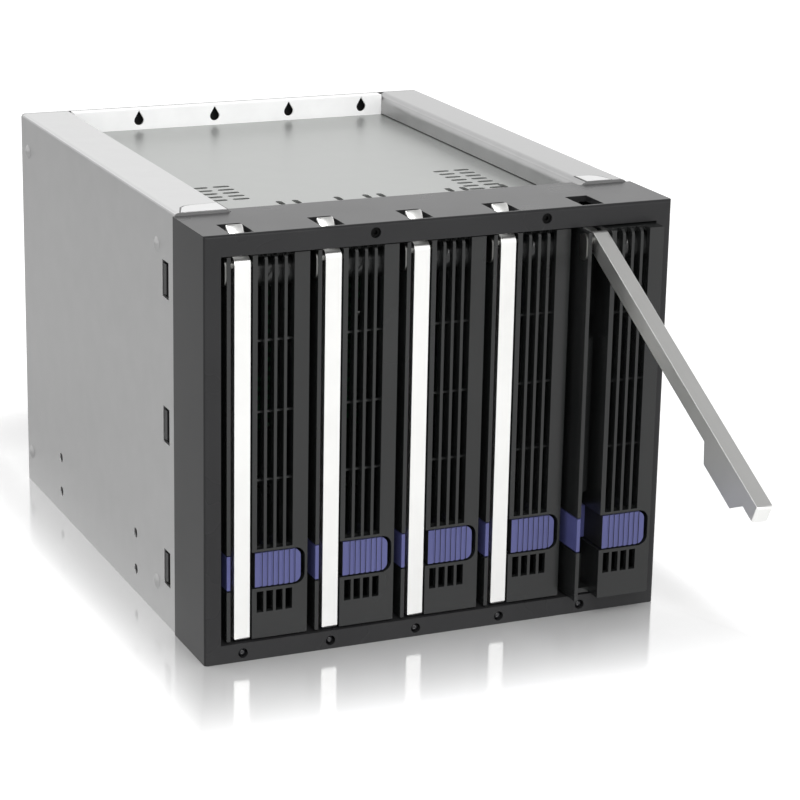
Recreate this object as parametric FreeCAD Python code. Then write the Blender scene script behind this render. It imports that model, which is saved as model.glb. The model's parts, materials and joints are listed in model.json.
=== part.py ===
# Hot swap drive cage: five upright trays for 3.5 inch drives in a steel case
# with a deep plastic bezel. Lengths are in millimetres. The drive sets the
# height, the pitch of the bays and the depth; the case follows from them.
# While it is drawn, x runs to the right, y runs back from the bezel's front
# plane, and z runs up from the underside. On export everything is moved so
# that the origin is the centre of the underside of the steel case.

import FreeCAD
import Part
import math
import os

from FreeCAD import Vector

# The drive that a tray holds
drive_thick = 26.1
drive_tall = 101.6
drive_long = 147.0
drive_hole_inset = 6.35
drive_hole_first = 28.5
drive_hole_spacing = 101.6
drive_hole_radius = 1.75

# Gaps
running_gap = 0.3
slide_gap = 0.5
pin_gap = 0.05
insert_gap = 0.15

# Bays: each is as wide as a drive and a gap
bay_count = 5
bay_gap = 1.5

# Bezel: a deep frame round one wide opening
bezel_depth = 26.6
bezel_side = 5.0
rim_low = 5.7
rim_high = 6.2
rim_lip = 4.2
bezel_skin = 1.8
bezel_front_skin = 3.0
inner_floor_skin = 0.9
window_width = 7.2
window_front = 1.5
window_back = 13.0
lamp_radius = 1.5
lamp_height = 2.6
lamp_length = 8.0
lamp_sunk = 0.8
lamp_board_thick = 1.2
lamp_board_gap = 0.4
lamp_board_inset = 2.0
rim_screw_offsets = {1: 19.3, 3: 18.6}
rim_screw_drop = 2.8
rim_screw_head_radius = 1.6
rim_screw_shaft_radius = 1.0
rim_screw_recess_radius = 0.7
rim_screw_sunk = 0.6
rim_screw_head = 1.4
rim_screw_length = 9.0
rim_boss_half = 4.0
rim_boss_extra = 2.0

# Sheet steel case
sheet = 1.0
case_inset = 0.5
ledge_rise = 0.9
ledge_width = 17.0
left_bend = 1.2
right_bend = 3.0
web_foot_gap = 0.3
flange_width = 11.0
flange_end = 8.0

# Tray, measured from the left edge of its bay
tray_left = 2.1
tray_right_gap = 0.4
tray_front = 1.0
tray_box_depth = 22.6
tray_margin = 6.95
tray_wall = 1.5
tray_left_wall = 1.2
tray_face = 2.0
channel_wide = 6.6
channel_wall = 1.5
channel_floor_depth = 11.0
channel_floor_thick = 1.5
channel_floor_slope = 4.0
channel_floor_key = 0.5
channel_floor_rise = 6.4
channel_floor_drop = 31.3
channel_block_gap = 0.5
channel_block_drop = 5.3
channel_shelf_depth = 6.0
channel_shelf_gap = 0.5
channel_shelf_round = 3.0
rail_thick = 2.7
rail_left = 2.6
rail_right_gap = 2.0
rail_end_gap = 2.0
open_tray_out = 6.5

# Vents of the tray
vent_count = 4
vent_bar = 0.9
face_strip = 4.7
lower_vent_rise = 8.05
lower_vent_gap = 1.4
grille_rise = 1.2
grille_lip = 0.7
grille_lip_rise = 0.3
grille_lip_thick = 1.2
grille_tie_rises = (20.5, 41.1, 62.3)
grille_tie_tall = 0.6
grille_bar_round = 1.9
roll_radius = 4.5
roll_drop = 6.3

# Lever, drawn shut
lever_side_gap = 1.1
lever_width = 4.9
lever_front = 1.0
lever_depth = 5.4
lever_skin = 1.2
lever_foot_round = 1.0
lever_foot_gap = 0.4
pivot_drop = 2.9
pivot_back = 2.5
pin_radius = 1.25
pin_head_radius = 2.3
pin_head_long = 8.2
pin_head_thick = 0.5
pin_end_gap = 0.3
lever_corner = 2.0
fin_top_rise = 4.8
fin_step_rise = 1.4
fin_back_drop = 5.1
fin_front_drop = 9.7
fin_reach = 12.0
fin_thick = 1.6
open_angle = 61.8

# Latch
latch_rise = 15.9
latch_tall = 10.5
latch_pocket_gap = 0.4
latch_sunk = 0.2
latch_pad_overlap = 0.5
latch_pad_right_gap = 2.0
latch_pad_thick = 2.2
latch_finger_gap = 0.1
latch_stub_long = 6.0
latch_stub_inset = 3.0
latch_fin_gap = 1.0
latch_bridge_thick = 1.6
latch_travel = 0.8
latch_groove_count = 7
latch_groove_pitch = 1.7
latch_groove_radius = 0.35
latch_corner = 2.4
latch_pocket_corner = 3.0
spring_thick = 0.3
spring_tall = 4.0
spring_fold_count = 4
spring_width = 3.2

# Guides inside the case
guide_front_gap = 1.4
guide_back_gap = 10.4
guide_plate = 1.2
guide_rib_width = 2.0
guide_fence_width = 2.4
guide_fence_rise = 2.6
guide_rib_places = (6.0, 20.0)

# Sunk top of the case
sunk_sheet = 1.0
rear_wall_depth = 5.0
keyhole_count = 4
keyhole_first = -33.5
keyhole_pitch = 27.4
keyhole_radius = 1.7
keyhole_tip = 3.4
keyhole_rise = 3.2
cover_slot_long = 5.4
cover_slot_wide = 2.0
cover_slot_pitch = 4.5
cover_column_pitch = 7.1
cover_column_count = 2
left_slots_x = -47.7
left_slots_depth = 40.9
left_slots_row_count = 5
right_slots_x = 34.1
right_slots_depth = 30.8
right_slots_row_count = 7
seam_slot_places = (-28.5, -23.2, -9.5, 0.0, 4.7, 27.9, 32.9, 46.4)
seam_slot_depth = 32.0
seam_slot_long = 5.0
seam_slot_wide = 2.0

# Sides of the case
side_hole_radius = 1.6
side_hole_spacing_y = 79.25
side_hole_spacing_z = 11.85
side_hole_depth = 78.0
side_hole_rise = 13.6
snap_slot_rises = (12.8, 57.7, 102.2)
snap_slot_tall = 11.1
snap_slot_depth = 5.4
snap_slot_long = 5.5
snap_end_gap = 1.0
snap_root = 2.0
snap_tab_thick = 1.5
snap_tab_past = 2.0
snap_hook_depth = 3.0
snap_hook_reach = 0.8

# Back of the case
board_thick = 1.6
board_gap = 5.0
board_rise = 5.0
board_drop = 2.2
board_side_gap = 2.0
socket_deep = 5.8
socket_left = 19.5
socket_wide = 5.0
socket_rise = 20.85
socket_tall = 42.0
socket_slot = 1.6
socket_slot_end = 1.5
board_vent_left = 5.0
board_vent_wide = 10.0
board_vent_rises = (8.0, 60.0)
board_vent_tall = 42.0
standoff_radius = 2.75
standoff_bore_depth = 4.0
board_screw_radius = 1.4
board_screw_head = 2.4
board_screw_head_thick = 1.4
board_screw_bite = 3.5
board_screw_recess = 0.8
board_screw_edge = 2.5
board_screw_inset = 4.0
board_screw_bay = 3
case_screw_radius = 1.4
case_screw_head = 2.9
case_screw_head_thick = 1.6
case_screw_bite = 1.5
case_screw_recess = 1.0
case_screw_side = 7.5
case_screw_inset = 4.0

# Sockets on the back
power_port_wide = 11.0
power_port_tall = 23.0
power_port_lows = (26.0, 78.0)
power_port_gap = 4.0
power_pin_count = 4
power_pin_radius = 1.0
data_port_to_power = 20.0
data_port_wide = 6.0
data_port_tall = 14.0
data_port_pitch = 20.0
data_port_low = 17.0
data_tongue = 1.0
data_tongue_end = 2.0
port_reach = 4.0
port_gap = 0.3
port_wall = 1.2
port_pin_sunk = 1.2

# Fan
fan_to_ports = 50.0
fan_centre_z = 64.0
fan_size = 80.0
fan_deep = 25.0
fan_corner = 4.0
fan_rim = 2.0
fan_hole_edge = 4.25
fan_hole_radius = 2.15
fan_screw_radius = 2.0
fan_screw_head = 3.6
fan_screw_head_thick = 2.0
fan_screw_recess = 1.2
fan_hub_radius = 17.0
fan_hub_front = 2.5
fan_hub_back = 19.5
fan_hub_skin = 1.6
fan_blade_count = 7
fan_tip_gap = 1.0
fan_blade_thick = 1.6
fan_blade_tilt = 38.0
fan_motor_radius = 16.0
fan_motor_thick = 3.5
fan_motor_gap = 1.0
fan_strut_count = 4
fan_strut_wide = 4.0
fan_strut_thick = 2.45
fan_strut_turn = 20.0
fan_shaft_radius = 1.5
guard_wire = 0.9
guard_arm = 0.72
guard_arm_overlap = 1.0
guard_first_ring = 12.0
guard_last_past = 2.0
guard_ring_count = 5

# How far a cutting shape runs past the surface that it cuts
past = 1.0
same = 1e-6

# Heights that follow from the drive
bay_pitch = drive_thick + bay_gap
opening_half = bay_count * bay_pitch / 2
opening_low = rim_low
tray_low = opening_low + slide_gap
drive_low = tray_low + tray_margin
drive_high = drive_low + drive_tall
tray_high = drive_high + tray_margin
opening_high = tray_high + slide_gap
cage_height = opening_high + rim_high
case_top = cage_height + ledge_rise
bezel_half = opening_half + bezel_side
case_half = bezel_half - case_inset
case_inner = case_half - sheet
case_floor = sheet
sunk_floor = opening_high
case_ceiling = sunk_floor - sunk_sheet
rail_low = drive_low - running_gap - rail_thick
rail_high = drive_high + running_gap + rail_thick

# Depths that follow from the drive
tray_back = tray_front + tray_box_depth
drive_back = tray_back + drive_long
rail_back = drive_back - rail_end_gap
board_front = drive_back + socket_deep
board_back = board_front + board_thick
case_rear = board_back + board_gap + sheet
rear_wall_y = case_rear - rear_wall_depth
guide_front = bezel_depth + guide_front_gap
guide_back = board_front - guide_back_gap
datum_y = (bezel_depth + case_rear) / 2

# Places inside a bay
drive_left = bay_gap / 2
tray_right = bay_pitch - tray_right_gap
rail_right = bay_pitch - rail_right_gap
channel_left = tray_left + tray_left_wall
channel_right = channel_left + channel_wide
vent_left = channel_right + channel_wall
vent_right = tray_right - face_strip
vent_width = (vent_right - vent_left - (vent_count - 1) * vent_bar) / vent_count
lever_left = channel_left + lever_side_gap
lever_middle = lever_left + lever_width / 2
lever_low = opening_low + lever_foot_gap
pivot_height = tray_high - pivot_drop
pivot_y = lever_front + pivot_back
latch_low = tray_low + latch_rise
latch_high = latch_low + latch_tall
latch_front = tray_front + latch_sunk
latch_pad_left = vent_left - latch_pad_overlap
latch_pad_right = tray_right - latch_pad_right_gap
latch_bridge_front = fin_reach + latch_fin_gap
latch_bridge_back = latch_bridge_front + latch_bridge_thick
face_back = tray_front + tray_face
grille_low = latch_high + grille_rise
grille_back = face_back + grille_lip_thick
roll_height = tray_high - roll_drop

# Places on the back
board_low = case_floor + board_rise
board_high = case_ceiling - board_drop
board_half = case_inner - board_side_gap
flange_low = board_low + flange_end
flange_high = board_high - flange_end
power_port_x = case_inner - flange_width - power_port_gap - power_port_wide / 2
data_port_x = power_port_x - data_port_to_power
fan_centre_x = data_port_x - fan_to_ports
fan_bore = fan_size / 2 - fan_rim
fan_hole_spacing = fan_size - 2 * fan_hole_edge
fan_blade_tip = fan_bore - fan_tip_gap
guard_last_ring = fan_bore + guard_last_past
guard_ring_pitch = (guard_last_ring - guard_first_ring) / (guard_ring_count - 1)


def block(x0, x1, y0, y1, z0, z1):
    """Box between two corners."""
    return Part.makeBox(x1 - x0, y1 - y0, z1 - z0, Vector(x0, y0, z0))


def rod(direction, centre, radius, start, end):
    """Cylinder along x, y or z; centre gives the other two coordinates."""
    a, b = centre
    places = {"x": Vector(start, a, b), "y": Vector(a, start, b), "z": Vector(a, b, start)}
    ways = {"x": Vector(1, 0, 0), "y": Vector(0, 1, 0), "z": Vector(0, 0, 1)}
    return Part.makeCylinder(radius, end - start, places[direction], ways[direction])


def joined(shapes):
    """One solid from touching or crossing shapes."""
    shapes = list(shapes)
    whole = shapes[0] if len(shapes) == 1 else shapes[0].fuse(shapes[1:])
    return whole.removeSplitter()


def without(shape, tools):
    """Shape with every tool taken away."""
    tools = list(tools)
    return shape.cut(tools) if tools else shape


def side_profile(points, x0, x1):
    """Prism along x from (y, z) points."""
    corners = [Vector(x0, y, z) for y, z in points]
    face = Part.Face(Part.makePolygon(corners + corners[:1]))
    return face.extrude(Vector(x1 - x0, 0, 0))


def slot_along(direction, x, y, z0, z1, length, width):
    """Slot with round ends, centred on x and y, that runs along x or y."""
    half = width / 2
    reach = length / 2 - half
    if direction == "x":
        middle = block(x - reach, x + reach, y - half, y + half, z0, z1)
        ends = [(x - reach, y), (x + reach, y)]
    else:
        middle = block(x - half, x + half, y - reach, y + reach, z0, z1)
        ends = [(x, y - reach), (x, y + reach)]
    return joined([middle] + [rod("z", end, half, z0, z1) for end in ends])


def long_edges(shape, x, z):
    """Edges that run from front to back at one x and z."""
    found = []
    for edge in shape.Edges:
        box = edge.BoundBox
        at_x = abs(box.XMin - x) < same and abs(box.XMax - x) < same
        at_z = abs(box.ZMin - z) < same and abs(box.ZMax - z) < same
        if at_x and at_z:
            found.append(edge)
    return found


def bay_left(bay):
    """Left edge of a bay, counted from 0."""
    return -opening_half + bay * bay_pitch


def grid(places_a, places_b):
    return [(a, b) for a in places_a for b in places_b]


def side_hole_places():
    half_y = side_hole_spacing_y / 2
    half_z = side_hole_spacing_z / 2
    y = bezel_depth + side_hole_depth
    return grid((y - half_y, y + half_y), (side_hole_rise - half_z, side_hole_rise + half_z))


def case_screw_places():
    side = case_half - case_screw_side
    return grid((-side, side), (flange_low + case_screw_inset, flange_high - case_screw_inset))


def side_panel(side):
    """Steel side: folded in over the top, down to the sunk top, and in at the rear.

    side is -1 for the left and 1 for the right, which has the wider bends.
    """
    web = case_half - ledge_width
    back = case_rear - sheet
    wall = block(case_inner, case_half, bezel_depth, back, 0, case_top)
    ledge = block(web, case_half, bezel_depth, back, case_top - sheet, case_top)
    down = block(web, web + sheet, bezel_depth, back, sunk_floor + web_foot_gap, case_top)
    panel = joined([wall, ledge, down])
    bend = right_bend if side > 0 else left_bend
    for x in (case_half, web):
        panel = panel.makeFillet(bend, long_edges(panel, x, case_top))
    for x in (case_inner, web + sheet):
        panel = panel.makeFillet(bend - sheet, long_edges(panel, x, case_top - sheet))
    flange = block(case_inner - flange_width, case_inner, back - sheet, back, flange_low, flange_high)
    panel = joined([panel, flange])
    tools = [rod("x", place, side_hole_radius, case_inner - past, case_half + past)
             for place in side_hole_places()]
    front = bezel_depth + snap_slot_depth
    for rise in snap_slot_rises:
        tools.append(block(case_inner - past, case_half + past, front, front + snap_slot_long,
                           rise, rise + snap_slot_tall))
    for x, z in case_screw_places():
        if x > 0:
            tools.append(rod("y", (x, z), case_screw_radius, back - sheet - past, back + past))
    panel = without(panel, tools)
    return panel if side > 0 else panel.mirror(Vector(0, 0, 0), Vector(1, 0, 0))


def base_panel():
    return block(-case_inner, case_inner, bezel_depth, case_rear - sheet, 0, sheet)


def cover_slots(start_x, start_depth, row_count):
    """One group of vent slots in the sunk top."""
    slots = []
    for row, column in grid(range(row_count), range(cover_column_count)):
        x = start_x + cover_slot_long / 2 + column * cover_column_pitch
        y = bezel_depth + start_depth + row * cover_slot_pitch
        slots.append(slot_along("x", x, y, case_ceiling - past, sunk_floor + past,
                                cover_slot_long, cover_slot_wide))
    return slots


def top_cover():
    """Sunk top sheet with two groups of vent slots and a row of short slots."""
    cover = block(-case_inner, case_inner, bezel_depth, case_rear - sheet, case_ceiling, sunk_floor)
    tools = cover_slots(left_slots_x, left_slots_depth, left_slots_row_count)
    tools += cover_slots(right_slots_x, right_slots_depth, right_slots_row_count)
    for x in seam_slot_places:
        tools.append(slot_along("y", x, bezel_depth + seam_slot_depth, case_ceiling - past,
                                sunk_floor + past, seam_slot_long, seam_slot_wide))
    return without(cover, tools)


def keyhole(x):
    """Drop-shaped hole: a circle drawn up to a point along its two tangents."""
    front = rear_wall_y - past
    depth = sheet + past
    height = sunk_floor + keyhole_rise
    circle = rod("y", (x, height), keyhole_radius, front, front + depth)
    lean = math.acos(keyhole_radius / keyhole_tip)
    side_x = keyhole_radius * math.sin(lean)
    side_z = height + keyhole_radius * math.cos(lean)
    corners = [Vector(x - side_x, front, side_z), Vector(x + side_x, front, side_z),
               Vector(x, front, height + keyhole_tip)]
    tip = Part.Face(Part.makePolygon(corners + corners[:1])).extrude(Vector(0, depth, 0))
    return joined([circle, tip])


def rear_wall():
    """Raised strip at the back of the sunk top, folded back over the case's rear."""
    half = case_half - ledge_width
    wall = block(-half, half, rear_wall_y, rear_wall_y + sheet, sunk_floor, case_top)
    flange = block(-half, half, rear_wall_y, case_rear - sheet, case_top - sheet, case_top)
    holes = [keyhole(keyhole_first + number * keyhole_pitch) for number in range(keyhole_count)]
    return without(joined([wall, flange]), holes)


def bezel_window(bay):
    """Window in the top rim over a lever."""
    centre = bay_left(bay) + lever_middle
    return block(centre - window_width / 2, centre + window_width / 2, window_front, window_back,
                 opening_high - past, cage_height + past)


def snap_tab(side, rise):
    """Tongue behind the bezel, flat on the side panel, with a seat and a hook for the panel's slot."""
    low = rise + snap_end_gap
    high = rise + snap_slot_tall - snap_end_gap
    root = case_inner - snap_tab_thick
    slot_back = bezel_depth + snap_slot_depth + snap_slot_long
    tongue = block(root, case_inner, bezel_depth - snap_root, slot_back + snap_tab_past, low, high)
    seat = block(root, bezel_half, bezel_depth - snap_root, bezel_depth, low, high)
    hook = block(root, case_inner + snap_hook_reach, slot_back - snap_hook_depth,
                 slot_back - insert_gap, low, high)
    tab = joined([tongue, seat, hook])
    return tab if side > 0 else tab.mirror(Vector(0, 0, 0), Vector(1, 0, 0))


def rim_screw_places():
    z = cage_height - rim_screw_drop
    return [(bay_left(bay) + offset, z) for bay, offset in rim_screw_offsets.items()]


def front_bezel():
    """Deep frame: front skin, outer wall and inner wall, hollow between the walls."""
    frame = block(-bezel_half, bezel_half, 0, bezel_depth, 0, cage_height)
    hollow = block(-bezel_half + bezel_skin, bezel_half - bezel_skin, bezel_front_skin, bezel_depth + past,
                   bezel_skin, cage_height - bezel_skin)
    keep = block(-opening_half - bezel_skin, opening_half + bezel_skin, 0, bezel_depth,
                 opening_low - inner_floor_skin, opening_high + bezel_skin)
    sill = block(-opening_half, opening_half, 0, lamp_length, 0, opening_low)
    lip_half = case_half - ledge_width - running_gap
    lip = block(-lip_half, lip_half, bezel_depth - bezel_skin, bezel_depth + rim_lip,
                cage_height - bezel_skin, cage_height)
    bosses = [block(x - rim_boss_half, x + rim_boss_half, 0, rim_screw_length + rim_boss_extra,
                    opening_high, cage_height) for x, z in rim_screw_places()]
    tabs = [snap_tab(side, rise) for side, rise in grid((-1, 1), snap_slot_rises)]
    frame = joined([without(frame, [hollow]), keep, sill, lip] + bosses + tabs)
    tools = [block(-opening_half, opening_half, -past, bezel_depth + past, opening_low, opening_high)]
    for bay in range(bay_count):
        tools.append(bezel_window(bay))
        tools.append(rod("y", (bay_left(bay) + lever_middle, lamp_height), lamp_radius,
                         -past, lamp_length + past))
    for place in rim_screw_places():
        tools.append(rod("y", place, rim_screw_head_radius, -past, rim_screw_sunk + rim_screw_head))
        tools.append(rod("y", place, rim_screw_shaft_radius, 0, rim_screw_length))
    return without(frame, tools)


def bezel_screws():
    """Two screws in the top rim, their heads sunk, each with a round recess."""
    screws = []
    head_back = rim_screw_sunk + rim_screw_head
    for place in rim_screw_places():
        screw = joined([rod("y", place, rim_screw_head_radius, rim_screw_sunk, head_back),
                        rod("y", place, rim_screw_shaft_radius, head_back, rim_screw_length)])
        recess = rod("y", place, rim_screw_recess_radius, 0, rim_screw_sunk + rim_screw_head / 2)
        screws.append(screw.cut(recess))
    return Part.makeCompound(screws)


def bay_lights():
    """Small round lenses in the bottom rim, one under each lever."""
    lenses = []
    for bay in range(bay_count):
        place = (bay_left(bay) + lever_middle, lamp_height)
        lenses.append(rod("y", place, lamp_radius - pin_gap, lamp_sunk, lamp_length))
    return Part.makeCompound(lenses)


def light_board():
    """Narrow board behind the lenses, in the hollow of the bottom rim."""
    half = opening_half - lamp_board_inset
    return block(-half, half, lamp_length, lamp_length + lamp_board_thick, bezel_skin + lamp_board_gap,
                 opening_low - inner_floor_skin - lamp_board_gap)


def guide(seat, rail_face):
    """Plate on seat with two runners for each tray's rail and a fence between trays."""
    inward = 1 if rail_face > seat else -1
    plate_face = seat + inward * guide_plate
    runner_face = rail_face - inward * running_gap
    fence_face = rail_face + inward * guide_fence_rise
    half = case_inner - slide_gap

    def strip(x0, x1, za, zb):
        return block(x0, x1, guide_front, guide_back, min(za, zb), max(za, zb))

    parts = [strip(-half, half, seat, plate_face)]
    for bay, rib in grid(range(bay_count), guide_rib_places):
        x = bay_left(bay) + rib
        parts.append(strip(x, x + guide_rib_width, plate_face, runner_face))
    fence_middle = (rail_right + rail_left - bay_pitch) / 2
    for bay in range(bay_count + 1):
        x = bay_left(bay) + fence_middle
        parts.append(strip(x - guide_fence_width / 2, x + guide_fence_width / 2, plate_face, fence_face))
    return joined(parts)


def board_screw_places():
    side = board_half - board_screw_edge
    columns = (-side, bay_left(board_screw_bay), side)
    return grid(columns, (board_low + board_screw_inset, board_high - board_screw_inset))


def backplane():
    """Circuit board with an airflow cut above another in each bay, and screw holes."""
    board = block(-board_half, board_half, board_front, board_back, board_low, board_high)
    tools = []
    for bay, rise in grid(range(bay_count), board_vent_rises):
        x = bay_left(bay) + board_vent_left
        tools.append(block(x, x + board_vent_wide, board_front - past, board_back + past,
                           board_low + rise, board_low + rise + board_vent_tall))
    for place in board_screw_places():
        tools.append(rod("y", place, board_screw_radius, board_front - past, board_back + past))
    return without(board, tools)


def drive_sockets():
    """One long socket for each drive, with a blade slot in its mouth."""
    sockets = []
    low = drive_low + socket_rise
    high = low + socket_tall
    for bay in range(bay_count):
        x = bay_left(bay) + socket_left
        body = block(x, x + socket_wide, drive_back + running_gap, board_front, low, high)
        middle = x + socket_wide / 2
        mouth = block(middle - socket_slot / 2, middle + socket_slot / 2, drive_back - past,
                      board_front - sheet, low + socket_slot_end, high - socket_slot_end)
        sockets.append(body.cut(mouth))
    return Part.makeCompound(sockets)


def backplane_standoffs():
    """Posts between the board and the rear sheet."""
    posts = []
    for place in board_screw_places():
        post = rod("y", place, standoff_radius, board_back, case_rear - sheet)
        posts.append(post.cut(rod("y", place, board_screw_radius, board_back - past,
                                  board_back + standoff_bore_depth)))
    return Part.makeCompound(posts)


def backplane_screws():
    screws = []
    for place in board_screw_places():
        head = rod("y", place, board_screw_head, board_front - board_screw_head_thick, board_front)
        shaft = rod("y", place, board_screw_radius, board_front, board_back + board_screw_bite)
        recess = rod("y", place, board_screw_recess, board_front - board_screw_head_thick - past,
                     board_front - board_screw_head_thick / 2)
        screws.append(joined([head, shaft]).cut(recess))
    return Part.makeCompound(screws)


def fan_hole_places():
    half = fan_hole_spacing / 2
    return grid((fan_centre_x - half, fan_centre_x + half), (fan_centre_z - half, fan_centre_z + half))


def data_port_heights():
    return [data_port_low + port * data_port_pitch for port in range(bay_count)]


def port_cut(x, wide, low, tall):
    """Cut in the rear sheet round one socket."""
    half = wide / 2 + port_gap
    return block(x - half, x + half, case_rear - sheet - past, case_rear + past,
                 low - port_gap, low + tall + port_gap)


def rear_panel():
    """Back sheet with the fan's opening and cuts for the sockets and screws."""
    panel = block(-case_half, case_half, case_rear - sheet, case_rear, 0, case_top)
    panel = panel.makeFillet(left_bend, long_edges(panel, -case_half, case_top))
    panel = panel.makeFillet(right_bend, long_edges(panel, case_half, case_top))
    front = case_rear - sheet - past
    back = case_rear + past
    tools = [rod("y", (fan_centre_x, fan_centre_z), fan_bore, front, back)]
    for place in fan_hole_places():
        tools.append(rod("y", place, fan_hole_radius, front, back))
    for place in case_screw_places():
        tools.append(rod("y", place, case_screw_radius + pin_gap, front, back))
    for low in data_port_heights():
        tools.append(port_cut(data_port_x, data_port_wide, low, data_port_tall))
    for low in power_port_lows:
        tools.append(port_cut(power_port_x, power_port_wide, low, power_port_tall))
    return without(panel, tools)


def case_screws():
    """Screws through the rear sheet into the flanges of the two sides."""
    screws = []
    for place in case_screw_places():
        head_back = case_rear + case_screw_head_thick
        head = rod("y", place, case_screw_head, case_rear, head_back)
        shaft = rod("y", place, case_screw_radius, case_rear - sheet - case_screw_bite, case_rear)
        recess = rod("y", place, case_screw_recess, case_rear + case_screw_head_thick / 2, head_back + past)
        screws.append(joined([head, shaft]).cut(recess))
    return Part.makeCompound(screws)


def port(x, wide, low, tall):
    """Hollow socket that stands on the board and looks out of the back."""
    body = block(x - wide / 2, x + wide / 2, board_back, case_rear + port_reach, low, low + tall)
    mouth = block(x - wide / 2 + port_wall, x + wide / 2 - port_wall, board_back + port_wall,
                  case_rear + port_reach + past, low + port_wall, low + tall - port_wall)
    return body.cut(mouth)


def data_ports():
    """One upright data socket for each bay, with a flat tongue inside."""
    ports = []
    for low in data_port_heights():
        tongue = block(data_port_x - data_tongue / 2, data_port_x + data_tongue / 2,
                       board_back + port_wall / 2, case_rear + port_reach - port_pin_sunk,
                       low + data_tongue_end, low + data_port_tall - data_tongue_end)
        ports.append(joined([port(data_port_x, data_port_wide, low, data_port_tall), tongue]))
    return Part.makeCompound(ports)


def power_ports():
    """Two power sockets, each with a row of round pins."""
    ports = []
    for low in power_port_lows:
        parts = [port(power_port_x, power_port_wide, low, power_port_tall)]
        step = power_port_tall / power_pin_count
        for number in range(power_pin_count):
            z = low + step / 2 + number * step
            parts.append(rod("y", (power_port_x, z), power_pin_radius, board_back + port_wall / 2,
                             case_rear + port_reach - port_pin_sunk))
        ports.append(joined(parts))
    return Part.makeCompound(ports)


def turned_about_fan(shape, angle, y=0):
    """Shape drawn about the y axis, turned by an angle and moved to the fan's centre."""
    shape.rotate(Vector(0, 0, 0), Vector(0, 1, 0), angle)
    shape.translate(Vector(fan_centre_x, y, fan_centre_z))
    return shape


def fan_frame():
    """Square frame with a round duct, four corner holes and a motor seat on struts."""
    front = case_rear
    back = case_rear + fan_deep
    half = fan_size / 2
    frame = block(fan_centre_x - half, fan_centre_x + half, front, back,
                  fan_centre_z - half, fan_centre_z + half)
    edges = [edge for edge in frame.Edges if abs(edge.BoundBox.YLength - fan_deep) < same]
    frame = frame.makeFillet(fan_corner, edges)
    centre = (fan_centre_x, fan_centre_z)
    frame = frame.cut(rod("y", centre, fan_bore, front - past, back + past))
    seat_back = back - fan_motor_gap
    seat_front = seat_back - fan_motor_thick
    seat = rod("y", centre, fan_motor_radius, seat_front, seat_back)
    struts = []
    for number in range(fan_strut_count):
        strut = block(0, fan_bore + past, seat_front, seat_front + fan_strut_thick,
                      -fan_strut_wide / 2, fan_strut_wide / 2)
        struts.append(turned_about_fan(strut, number * 360 / fan_strut_count + fan_strut_turn))
    shaft = rod("y", centre, fan_shaft_radius, front + fan_hub_front + 2 * fan_hub_skin, seat_front)
    frame = joined([frame, seat, shaft] + struts)
    return without(frame, [rod("y", place, fan_hole_radius, front - past, back + past)
                           for place in fan_hole_places()])


def fan_rotor():
    """Cup-shaped hub with tilted blades; a tube in the cup turns on the frame's shaft."""
    front = case_rear + fan_hub_front
    back = case_rear + fan_hub_back
    centre = (fan_centre_x, fan_centre_z)
    cup = rod("y", centre, fan_hub_radius, front, back)
    cup = cup.cut(rod("y", centre, fan_hub_radius - fan_hub_skin, front + fan_hub_skin, back + past))
    tube = rod("y", centre, fan_shaft_radius + fan_hub_skin, front, back - fan_hub_skin)
    reach = rod("y", centre, fan_blade_tip, front, back)
    blades = []
    for number in range(fan_blade_count):
        blade = block(fan_hub_radius - fan_hub_skin / 2, fan_blade_tip + past, front - back, back - front,
                      -fan_blade_thick / 2, fan_blade_thick / 2)
        blade.rotate(Vector(0, 0, 0), Vector(1, 0, 0), fan_blade_tilt)
        blade = turned_about_fan(blade, number * 360 / fan_blade_count, (front + back) / 2)
        blades.append(blade.common(reach))
    hub = joined([cup, tube] + blades)
    return hub.cut(rod("y", centre, fan_shaft_radius + pin_gap, front + fan_hub_skin, back + past))


def fan_guard():
    """Finger guard: round wires on a cross, with an eye at each corner."""
    y = case_rear + fan_deep + guard_wire
    parts = []
    for number in range(guard_ring_count):
        radius = guard_first_ring + number * guard_ring_pitch
        parts.append(Part.makeTorus(radius, guard_wire, Vector(fan_centre_x, y, fan_centre_z), Vector(0, 1, 0)))
    reach = fan_hole_spacing / math.sqrt(2)
    for number in range(4):
        arm = block(guard_first_ring - guard_arm_overlap, reach - fan_screw_head + guard_arm_overlap,
                    y - guard_arm, y + guard_arm, -guard_arm, guard_arm)
        parts.append(turned_about_fan(arm, 45 + number * 90))
    for place in fan_hole_places():
        eye = rod("y", place, fan_screw_head, y - guard_wire, y + guard_arm)
        parts.append(eye.cut(rod("y", place, fan_hole_radius, y - guard_wire - past, y + guard_arm + past)))
    return joined(parts)


def fan_screws():
    seat = case_rear + fan_deep + guard_wire + guard_arm
    screws = []
    for place in fan_hole_places():
        head = rod("y", place, fan_screw_head, seat, seat + fan_screw_head_thick)
        shaft = rod("y", place, fan_screw_radius, case_rear - 2 * sheet, seat)
        recess = rod("y", place, fan_screw_recess, seat + fan_screw_head_thick / 2,
                     seat + fan_screw_head_thick + past)
        screws.append(joined([head, shaft]).cut(recess))
    return Part.makeCompound(screws)


def vent_columns():
    """Left edge of each vent slot of a tray."""
    return [vent_left + column * (vent_width + vent_bar) for column in range(vent_count)]


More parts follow.
